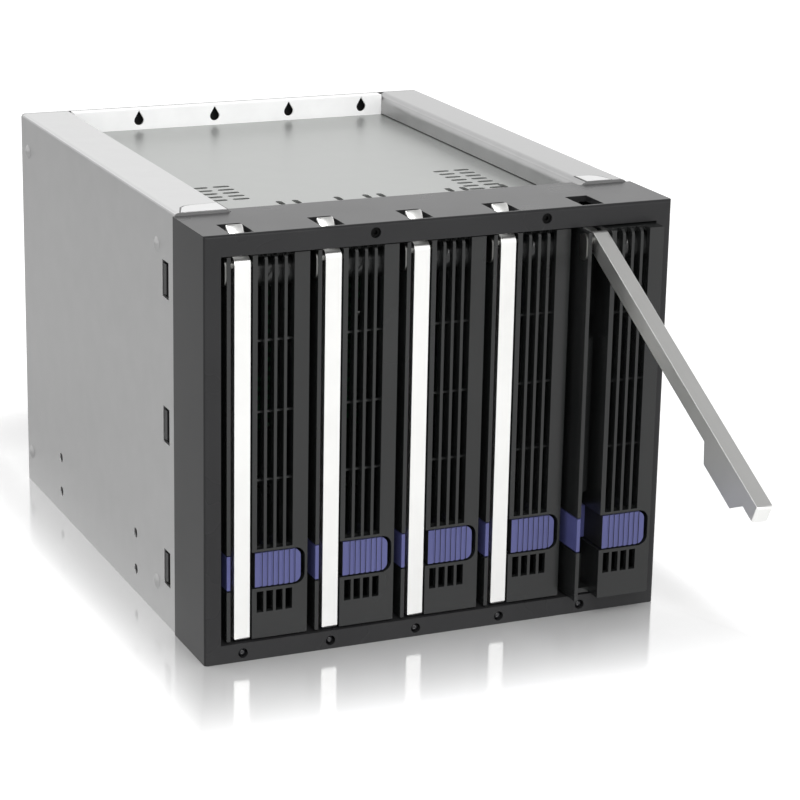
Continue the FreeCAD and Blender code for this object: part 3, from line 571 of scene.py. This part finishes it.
def ring_walls(grid):
    """Faces between the rows of a grid of point numbers, where each row closes to a ring."""
    after = np.roll(grid, -1, axis=1)
    return np.stack((grid[:-1], grid[1:], after[1:], after[:-1]), axis=-1).reshape(-1, 4)


def turns(count):
    """Equal angles round a circle, the first at zero."""
    return np.linspace(0, 2 * np.pi, count, endpoint=False)


print("a box carried along z has", len(carried([(0, 0), (1, 0), (1, 1), (0, 1)], 0, 1, 2)[1]), "faces")

# %% [markdown]
# ## Cam teeth
#
# The head of each lever ends in a small tooth that stands up into the window
# of the rim. It pulls the tray home as the lever shuts. The tooth is one
# casting with the lever, so it has the same paint and rides on the lever. Its
# side profile is drawn for a shut lever and is turned about the pin where the
# lever stands open.

# %% Cam teeth
pin_place = np.array((3.5, 118.8))
tooth_half = 2.45
tooth_rounding = 0.35
tooth_profile = [(4.0, 119.0), (6.0, 119.2), (8.4, 122.6), (8.9, 128.7), (8.5, 129.3), (7.9, 129.3),
                 (6.1, 127.2), (5.2, 125.6), (4.2, 121.4)]
open_bay = bay_count - 1
open_angle = math.radians(61.8)
open_shift = 6.5


def cam_tooth(bay):
    """Side profile of a tooth, carried across the lever's width.

    With a point y back from the pin and z above it, the turned point is y cos a - z sin a
    back and y sin a + z cos a above, and then the tray's shift brings it forward.
    """
    angle, shift = (-open_angle, open_shift) if bay == open_bay else (0.0, 0.0)
    turn = np.array(((math.cos(angle), -math.sin(angle)), (math.sin(angle), math.cos(angle))))
    profile = (np.array(tooth_profile) - pin_place) @ turn.T + pin_place - (shift, 0)
    middle = bay_left(bay) + lever_middle
    points, faces = carried(profile, middle - tooth_half, middle + tooth_half, 0)
    tooth = new_piece("cam_tooth_%d" % (bay + 1), points, faces, silver, rounding_mm=tooth_rounding)
    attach(tooth, "lever_%d" % (bay + 1))
    return tooth


teeth = [cam_tooth(bay) for bay in range(bay_count)]
print("cam teeth:", len(teeth))

# %% [markdown]
# ## Lenses of the bay lights
#
# Each light is a smoked plastic rod with a domed end, a little narrower than
# its hole, so that a dark ring shows round it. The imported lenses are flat, so
# one piece with all five rods stands for them. The dome is a parabola, which
# catches one soft highlight as the real lens does.

# %% Domed lenses
lens_radius, lens_front, lens_dome, lens_back = 1.15, 0.4, 0.6, 8.0
lens_height = 2.6
lens_tip = 0.1
lens_rings = 9
lens_spokes = 32


def lens_rods():
    """Rods along y, one per bay.

    The radius grows from the tip's share of the full radius to all of it, and the depth
    behind the bezel's front is lens_front plus lens_dome times the square of that share.
    """
    share = np.linspace(lens_tip, 1, lens_rings)
    radius = np.append(lens_radius * share, lens_radius)[:, None]
    depth = np.append(lens_front + lens_dome * share ** 2, lens_back)[:, None]
    angle = turns(lens_spokes)
    middle = bay_left(np.arange(bay_count)) + lever_middle
    x = middle[:, None, None] + radius * np.cos(angle)
    z = lens_height + radius * np.sin(angle)
    points = np.stack(np.broadcast_arrays(x, depth, z), axis=-1).reshape(-1, 3)
    faces = []
    for grid in np.arange(len(points)).reshape(bay_count, -1, lens_spokes):
        faces.append(grid[0].tolist())
        faces += ring_walls(grid).tolist()
    piece = new_piece("lens_rods", points, faces, lens_dark)
    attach(piece, "cage")
    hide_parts("bay_lights")
    return piece


print("faces in the lenses:", len(lens_rods().data.polygons))

# %% [markdown]
# ## Dimples in the sides
#
# Four small round dimples are pressed outwards in each side, near its
# corners. Such dimples keep a cage from rattling in its opening. They could
# be a bump in the finish, but a bump is lost in the mesh, so they are real
# domes. Each is a disc of rings whose height falls with the
# square of the distance from its middle.

# %% Dimples in the sides
dimple_places = np.array([(176.7, 117.5), (42.6, 116.5), (179.8, 10.7), (44.6, 10.8)])
dimple_radius, dimple_height, dimple_dip = 2.5, 0.9, 0.02
dimple_rings, dimple_spokes = 6, 24


def dome():
    """Points of one dome about its own middle, and its faces.

    At a share s of the radius the height is dimple_height times (1 - s squared), less
    dimple_dip times s, which sinks the rim a little into the sheet.
    """
    share = (np.arange(dimple_rings) + 1)[:, None] / dimple_rings
    angle = turns(dimple_spokes)
    rise = dimple_height * (1 - share ** 2) - dimple_dip * share
    y = dimple_radius * share * np.cos(angle)
    z = dimple_radius * share * np.sin(angle)
    rings = np.stack(np.broadcast_arrays(rise, y, z), axis=-1).reshape(-1, 3)
    grid = 1 + np.arange(len(rings)).reshape(dimple_rings, dimple_spokes)
    fan = np.column_stack((np.zeros_like(grid[0]), grid[0], np.roll(grid[0], -1)))
    return np.vstack(((dimple_height, 0, 0), rings)), (fan, ring_walls(grid))


def dimples(side):
    """Four domes on one side of the case; side is -1 for the left, which also turns the faces outwards."""
    shape, parts = dome()
    middles = np.insert(dimple_places, 0, case_half, axis=1)
    points = (middles[:, None] + shape).reshape(-1, 3) * (side, 1, 1)
    faces = []
    for first in range(0, len(points), len(shape)):
        for part in parts:
            faces += (part[:, ::side] + first).tolist()
    piece = new_piece("side_dimples", points, faces, case_zinc)
    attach(piece, "cage")
    return piece


pressed = [dimples(side) for side in (-1, 1)]
print("dimples on", len(pressed), "sides")

# %% [markdown]
# ## Tabs on the ledges
#
# At the front end of each ledge a short tab of the sheet lies folded back,
# with one rounded corner and a gap round it that lies in shade. The tab is a
# plate about as thin as paper, a little brighter than the ledge. The gap is a
# wider and still thinner plate beneath, painted dark grey as the shadow in the
# gap, because a cut into the packed ledge would change the solid.

# %% Tabs on the ledges
tab_zinc = zinc_sheet("zinc_coated_tab", "#DADADA", "#E2E2E2", 0.85)
# Painted shadow: a dark plate stands for the shade in the gap round each tab.
gap_painted_shadow = zinc_sheet("painted_shadow_gap", "#2A2A2A", "#303030", 0.3)
tab_thick, gap_thick = 0.12, 0.05
gap_wide = 0.45
tab_root = 0.1
tab_rounding = 0.02
tab_outlines = {
    -1: [(-71.5, 26.7), (-57.5, 26.7), (-57.5, 35.4), (-65.8, 34.8), (-67.6, 34.2), (-69.2, 32.6)],
    1: [(59.2, 26.7), (67.5, 26.7), (66.4, 31.0), (65.4, 32.9), (63.6, 34.0), (59.2, 34.3)],
}


def ledge_plate(side, thick, grow, material):
    """Thin plate on the front end of a ledge; grow moves its outline sideways and back, not forward."""
    x, y = np.array(tab_outlines[side]).T
    outline = np.column_stack((x + np.copysign(grow, x - x.mean()), y + grow * (y > y.min())))
    points, faces = carried(outline, case_top - tab_root, case_top + thick, 2)
    piece = new_piece(material.name, points, faces, material, smooth=False, rounding_mm=tab_rounding)
    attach(piece, "cage")
    return piece


tabs = [ledge_plate(side, tab_thick, 0.0, tab_zinc) for side in (-1, 1)]
gaps = [ledge_plate(side, gap_thick, gap_wide, gap_painted_shadow) for side in (-1, 1)]
print("ledge tabs:", len(tabs), "with gaps:", len(gaps))

# %% [markdown]
# ## The table
#
# The cage stands on a pale glossy table, as in a studio. The table is white
# and keeps a mirror image close to the cage, which fades within a few
# centimetres. A sheet of even gloss would mirror the whole room instead, so
# the share of mirror falls with the distance from the cage's footprint. For
# rays from the camera the table glows a little more with that distance, and
# so turns into the white background without an edge. The shadow stays, since
# the glow is weak where the cage stands.

# %% How near to the cage
foot_half = (74.0, 105.0)
mirror_fade = (22.0, 58.0)


def nearness(tree, split):
    """1 under the cage and 0 beyond mirror_fade beside it, in straight lines; the lesser of x and y."""
    shares = []
    for axis, half, fade in zip(("X", "Y"), foot_half, mirror_fade):
        away = add(tree, "ShaderNodeMath", {"operation": "ABSOLUTE"}, links={0: split.outputs[axis]})
        shares.append(add(tree, "ShaderNodeMapRange",
                          inputs={"From Min": half * MM, "From Max": (half + fade) * MM,
                                  "To Min": 1.0, "To Max": 0.0},
                          links={"Value": away.outputs["Value"]}))
    return add(tree, "ShaderNodeMath", {"operation": "MINIMUM"},
               links={0: shares[0].outputs["Result"], 1: shares[1].outputs["Result"]})


print("the mirror image ends", mirror_fade, "mm beside and before the cage")

# %% Glow of the table
camera_lift = 0.5
# Painted light: a glow that only mirrored rays see, in front of the cage.
mirror_glow_painted_light = 0.1
lift_from, lift_to = -0.05, 0.12


def table_glow(tree, split, near):
    """Light from the table itself.

    Camera rays see camera_lift times the square of one less the nearness. Mirrored rays
    see a glow in front of the cage, down to nothing just behind it: this glow is painted
    light, so that faces turned forward mirror a brighter table.
    """
    path = add(tree, "ShaderNodeLightPath")
    front = add(tree, "ShaderNodeMapRange",
                inputs={"From Min": lift_from, "From Max": lift_to, "To Min": mirror_glow_painted_light, "To Max": 0.0},
                links={"Value": split.outputs["Y"]})
    away = add(tree, "ShaderNodeMath", {"operation": "SUBTRACT"}, {0: 1.0}, {1: near.outputs["Value"]})
    squared = add(tree, "ShaderNodeMath", {"operation": "POWER"}, {1: 2.0}, {0: away.outputs["Value"]})
    glow = add(tree, "ShaderNodeMath", {"operation": "MULTIPLY"}, {1: camera_lift},
               {0: squared.outputs["Value"]})
    seen = add(tree, "ShaderNodeMath", {"operation": "MULTIPLY"},
               links={0: glow.outputs["Value"], 1: path.outputs["Is Camera Ray"]})
    painted_mirror_glow = add(tree, "ShaderNodeMath", {"operation": "MULTIPLY"},
                   links={0: front.outputs["Result"], 1: path.outputs["Is Glossy Ray"]})
    lift = add(tree, "ShaderNodeMath", {"operation": "ADD"},
               links={0: seen.outputs["Value"], 1: painted_mirror_glow.outputs["Value"]})
    return add(tree, "ShaderNodeEmission", links={"Strength": lift.outputs["Value"]})


print("camera rays gain up to", camera_lift)

# %% The table
table_half = 12.0
table_cloud = 400.0
mirror_most = 0.52
mirror_rough = 0.1


def white_table():
    """White laminate: matt and glowing, mixed with a mirror near the cage."""
    material, tree, output = new_material("white_table")
    cloud = speckle(tree, table_cloud)
    colour = shades(tree, cloud.outputs["Fac"], "#E4E4E4", "#E8E8E8")
    matt = add(tree, "ShaderNodeBsdfDiffuse", links={"Color": colour})
    gloss = add(tree, "ShaderNodeBsdfGlossy", inputs={"Roughness": mirror_rough, "Color": (1, 1, 1, 1)})
    coords = add(tree, "ShaderNodeTexCoord")
    split = add(tree, "ShaderNodeSeparateXYZ", links={"Vector": coords.outputs["Object"]})
    near = nearness(tree, split)
    share = add(tree, "ShaderNodeMath", {"operation": "MULTIPLY"}, {1: mirror_most},
                {0: near.outputs["Value"]})
    glow = table_glow(tree, split, near)
    bright = add(tree, "ShaderNodeAddShader", links={0: matt.outputs["BSDF"], 1: glow.outputs["Emission"]})
    both = add(tree, "ShaderNodeMixShader",
               links={0: share.outputs["Value"], 1: bright.outputs["Shader"], 2: gloss.outputs["BSDF"]})
    tree.links.new(both.outputs["Shader"], output.inputs["Surface"])
    return material


def table():
    """One wide square under the cage; it is stage and not a piece."""
    corners = np.array([(-1, -1, 0), (1, -1, 0), (1, 1, 0), (-1, 1, 0)]) * table_half
    mesh = bpy.data.meshes.new("floor")
    mesh.from_pydata(corners.tolist(), [], [(0, 1, 2, 3)])
    mesh.materials.append(white_table())
    floor = bpy.data.objects.new("floor", mesh)
    bpy.context.collection.objects.link(floor)
    return floor


print("table:", table().name, "with half side", table_half, "m")

# %% [markdown]
# ## Light
#
# The room is an even white tent, brightest near the horizon and calmer
# overhead. That is what makes the upright faces and the top differ in tone,
# and what the silver levers mirror. Each stop of the ramp gives a brightness
# for the height of a ray, from 0 at the horizon to 1 straight up. A ramp's
# colour stops at 1, so it holds half the brightness and the strength is 2.
# The camera itself sees plain white.

# %% Room light
room_levels = [(0.0, 1.2), (0.32, 1.3), (0.55, 0.8), (0.88, 0.27)]
room_strength = 2.0


def room(levels):
    """World brightness by the ray's height, from pairs of height and brightness."""
    world = bpy.data.worlds.new("studio")
    bpy.context.scene.world = world
    world.use_nodes = True
    tree = world.node_tree
    tree.nodes.clear()
    coords = add(tree, "ShaderNodeTexCoord")
    split = add(tree, "ShaderNodeSeparateXYZ", links={"Vector": coords.outputs["Generated"]})
    ramp = add(tree, "ShaderNodeValToRGB", links={"Fac": split.outputs["Z"]})
    stops = ramp.color_ramp.elements
    stops[0].position, stops[1].position = levels[0][0], levels[-1][0]
    for height, _ in levels[1:-1]:
        stops.new(height)
    for stop, (height, level) in zip(stops, levels):
        stop.color = (*[level / room_strength] * 3, 1)
    light = add(tree, "ShaderNodeBackground", inputs={"Strength": room_strength},
                links={"Color": ramp.outputs["Color"]})
    white = add(tree, "ShaderNodeBackground", inputs={"Strength": 1.0, "Color": (1, 1, 1, 1)})
    path = add(tree, "ShaderNodeLightPath")
    mix = add(tree, "ShaderNodeMixShader",
              links={0: path.outputs["Is Camera Ray"], 1: light.outputs["Background"],
                     2: white.outputs["Background"]})
    add(tree, "ShaderNodeOutputWorld", links={"Surface": mix.outputs["Shader"]})
    return world


print("room:", room(room_levels).name)

# %% [markdown]
# Two large square lamps add direction to the even room. The key stands to
# the upper left and draws the soft shadow to the right. The front one fills
# the face of the bezel and the open lever. Both are large for their
# distance, so that no shadow has a hard edge.

# %% Lamps


def softbox(name, location, target, size, power):
    """A square lamp that faces a target; places and size are in metres, power in watts."""
    lamp = bpy.data.lights.new(name, "AREA")
    lamp.shape = "SQUARE"
    lamp.size = size
    lamp.energy = power
    holder = bpy.data.objects.new(name, lamp)
    bpy.context.collection.objects.link(holder)
    holder.location = location
    holder.rotation_mode = "QUATERNION"
    holder.rotation_quaternion = (Vector(target) - Vector(location)).to_track_quat("-Z", "Y")
    return holder


lamps = [softbox("key", (-0.8, 0.3, 1.4), (0, 0, 0.06), 1.2, 6.0),
         softbox("front", (-0.1, -1.1, 1.2), (0, 0, 0.1), 0.9, 12.0)]
print("lamps:", [lamp.name for lamp in lamps])

# %% [markdown]
# ## Camera
#
# The view was solved from the corners of the bezel and the case. The lens is
# long, about 121 mm on a 36 mm frame, which is why the verticals are nearly
# parallel. The camera leans by about one degree.

# %% Camera
view_azimuth = math.radians(-23.97)
view_elevation = math.radians(16.95)
view_roll = 0.0200
view_distance = 875.4
view_target = Vector(placed((21.97, 80.0, 48.23)))
picture_pixels = 800
focal_pixels = 2688.8
sensor_width = 36.0
view_end = 50


def photo_camera():
    """Camera on a circle round the target; roll turns it about its own line of sight."""
    data = bpy.data.cameras.new("photo")
    data.sensor_width = sensor_width
    data.lens = focal_pixels / picture_pixels * sensor_width
    data.clip_end = view_end
    camera = bpy.data.objects.new("photo", data)
    bpy.context.collection.objects.link(camera)
    back = Vector((math.sin(view_azimuth) * math.cos(view_elevation),
                   -math.cos(view_azimuth) * math.cos(view_elevation), math.sin(view_elevation)))
    right = (-back).cross(Vector((0, 0, 1))).normalized()
    up = right.cross(-back)
    leaned_right = right * math.cos(view_roll) + up * math.sin(view_roll)
    leaned_up = up * math.cos(view_roll) - right * math.sin(view_roll)
    turn = Matrix((leaned_right, leaned_up, back)).transposed().to_4x4()
    camera.matrix_world = Matrix.Translation(view_target + back * view_distance * MM) @ turn
    bpy.context.scene.camera = camera
    return camera


print("focal length:", round(photo_camera().data.lens, 1), "mm")
bpy.context.scene.view_settings.view_transform = "Standard"
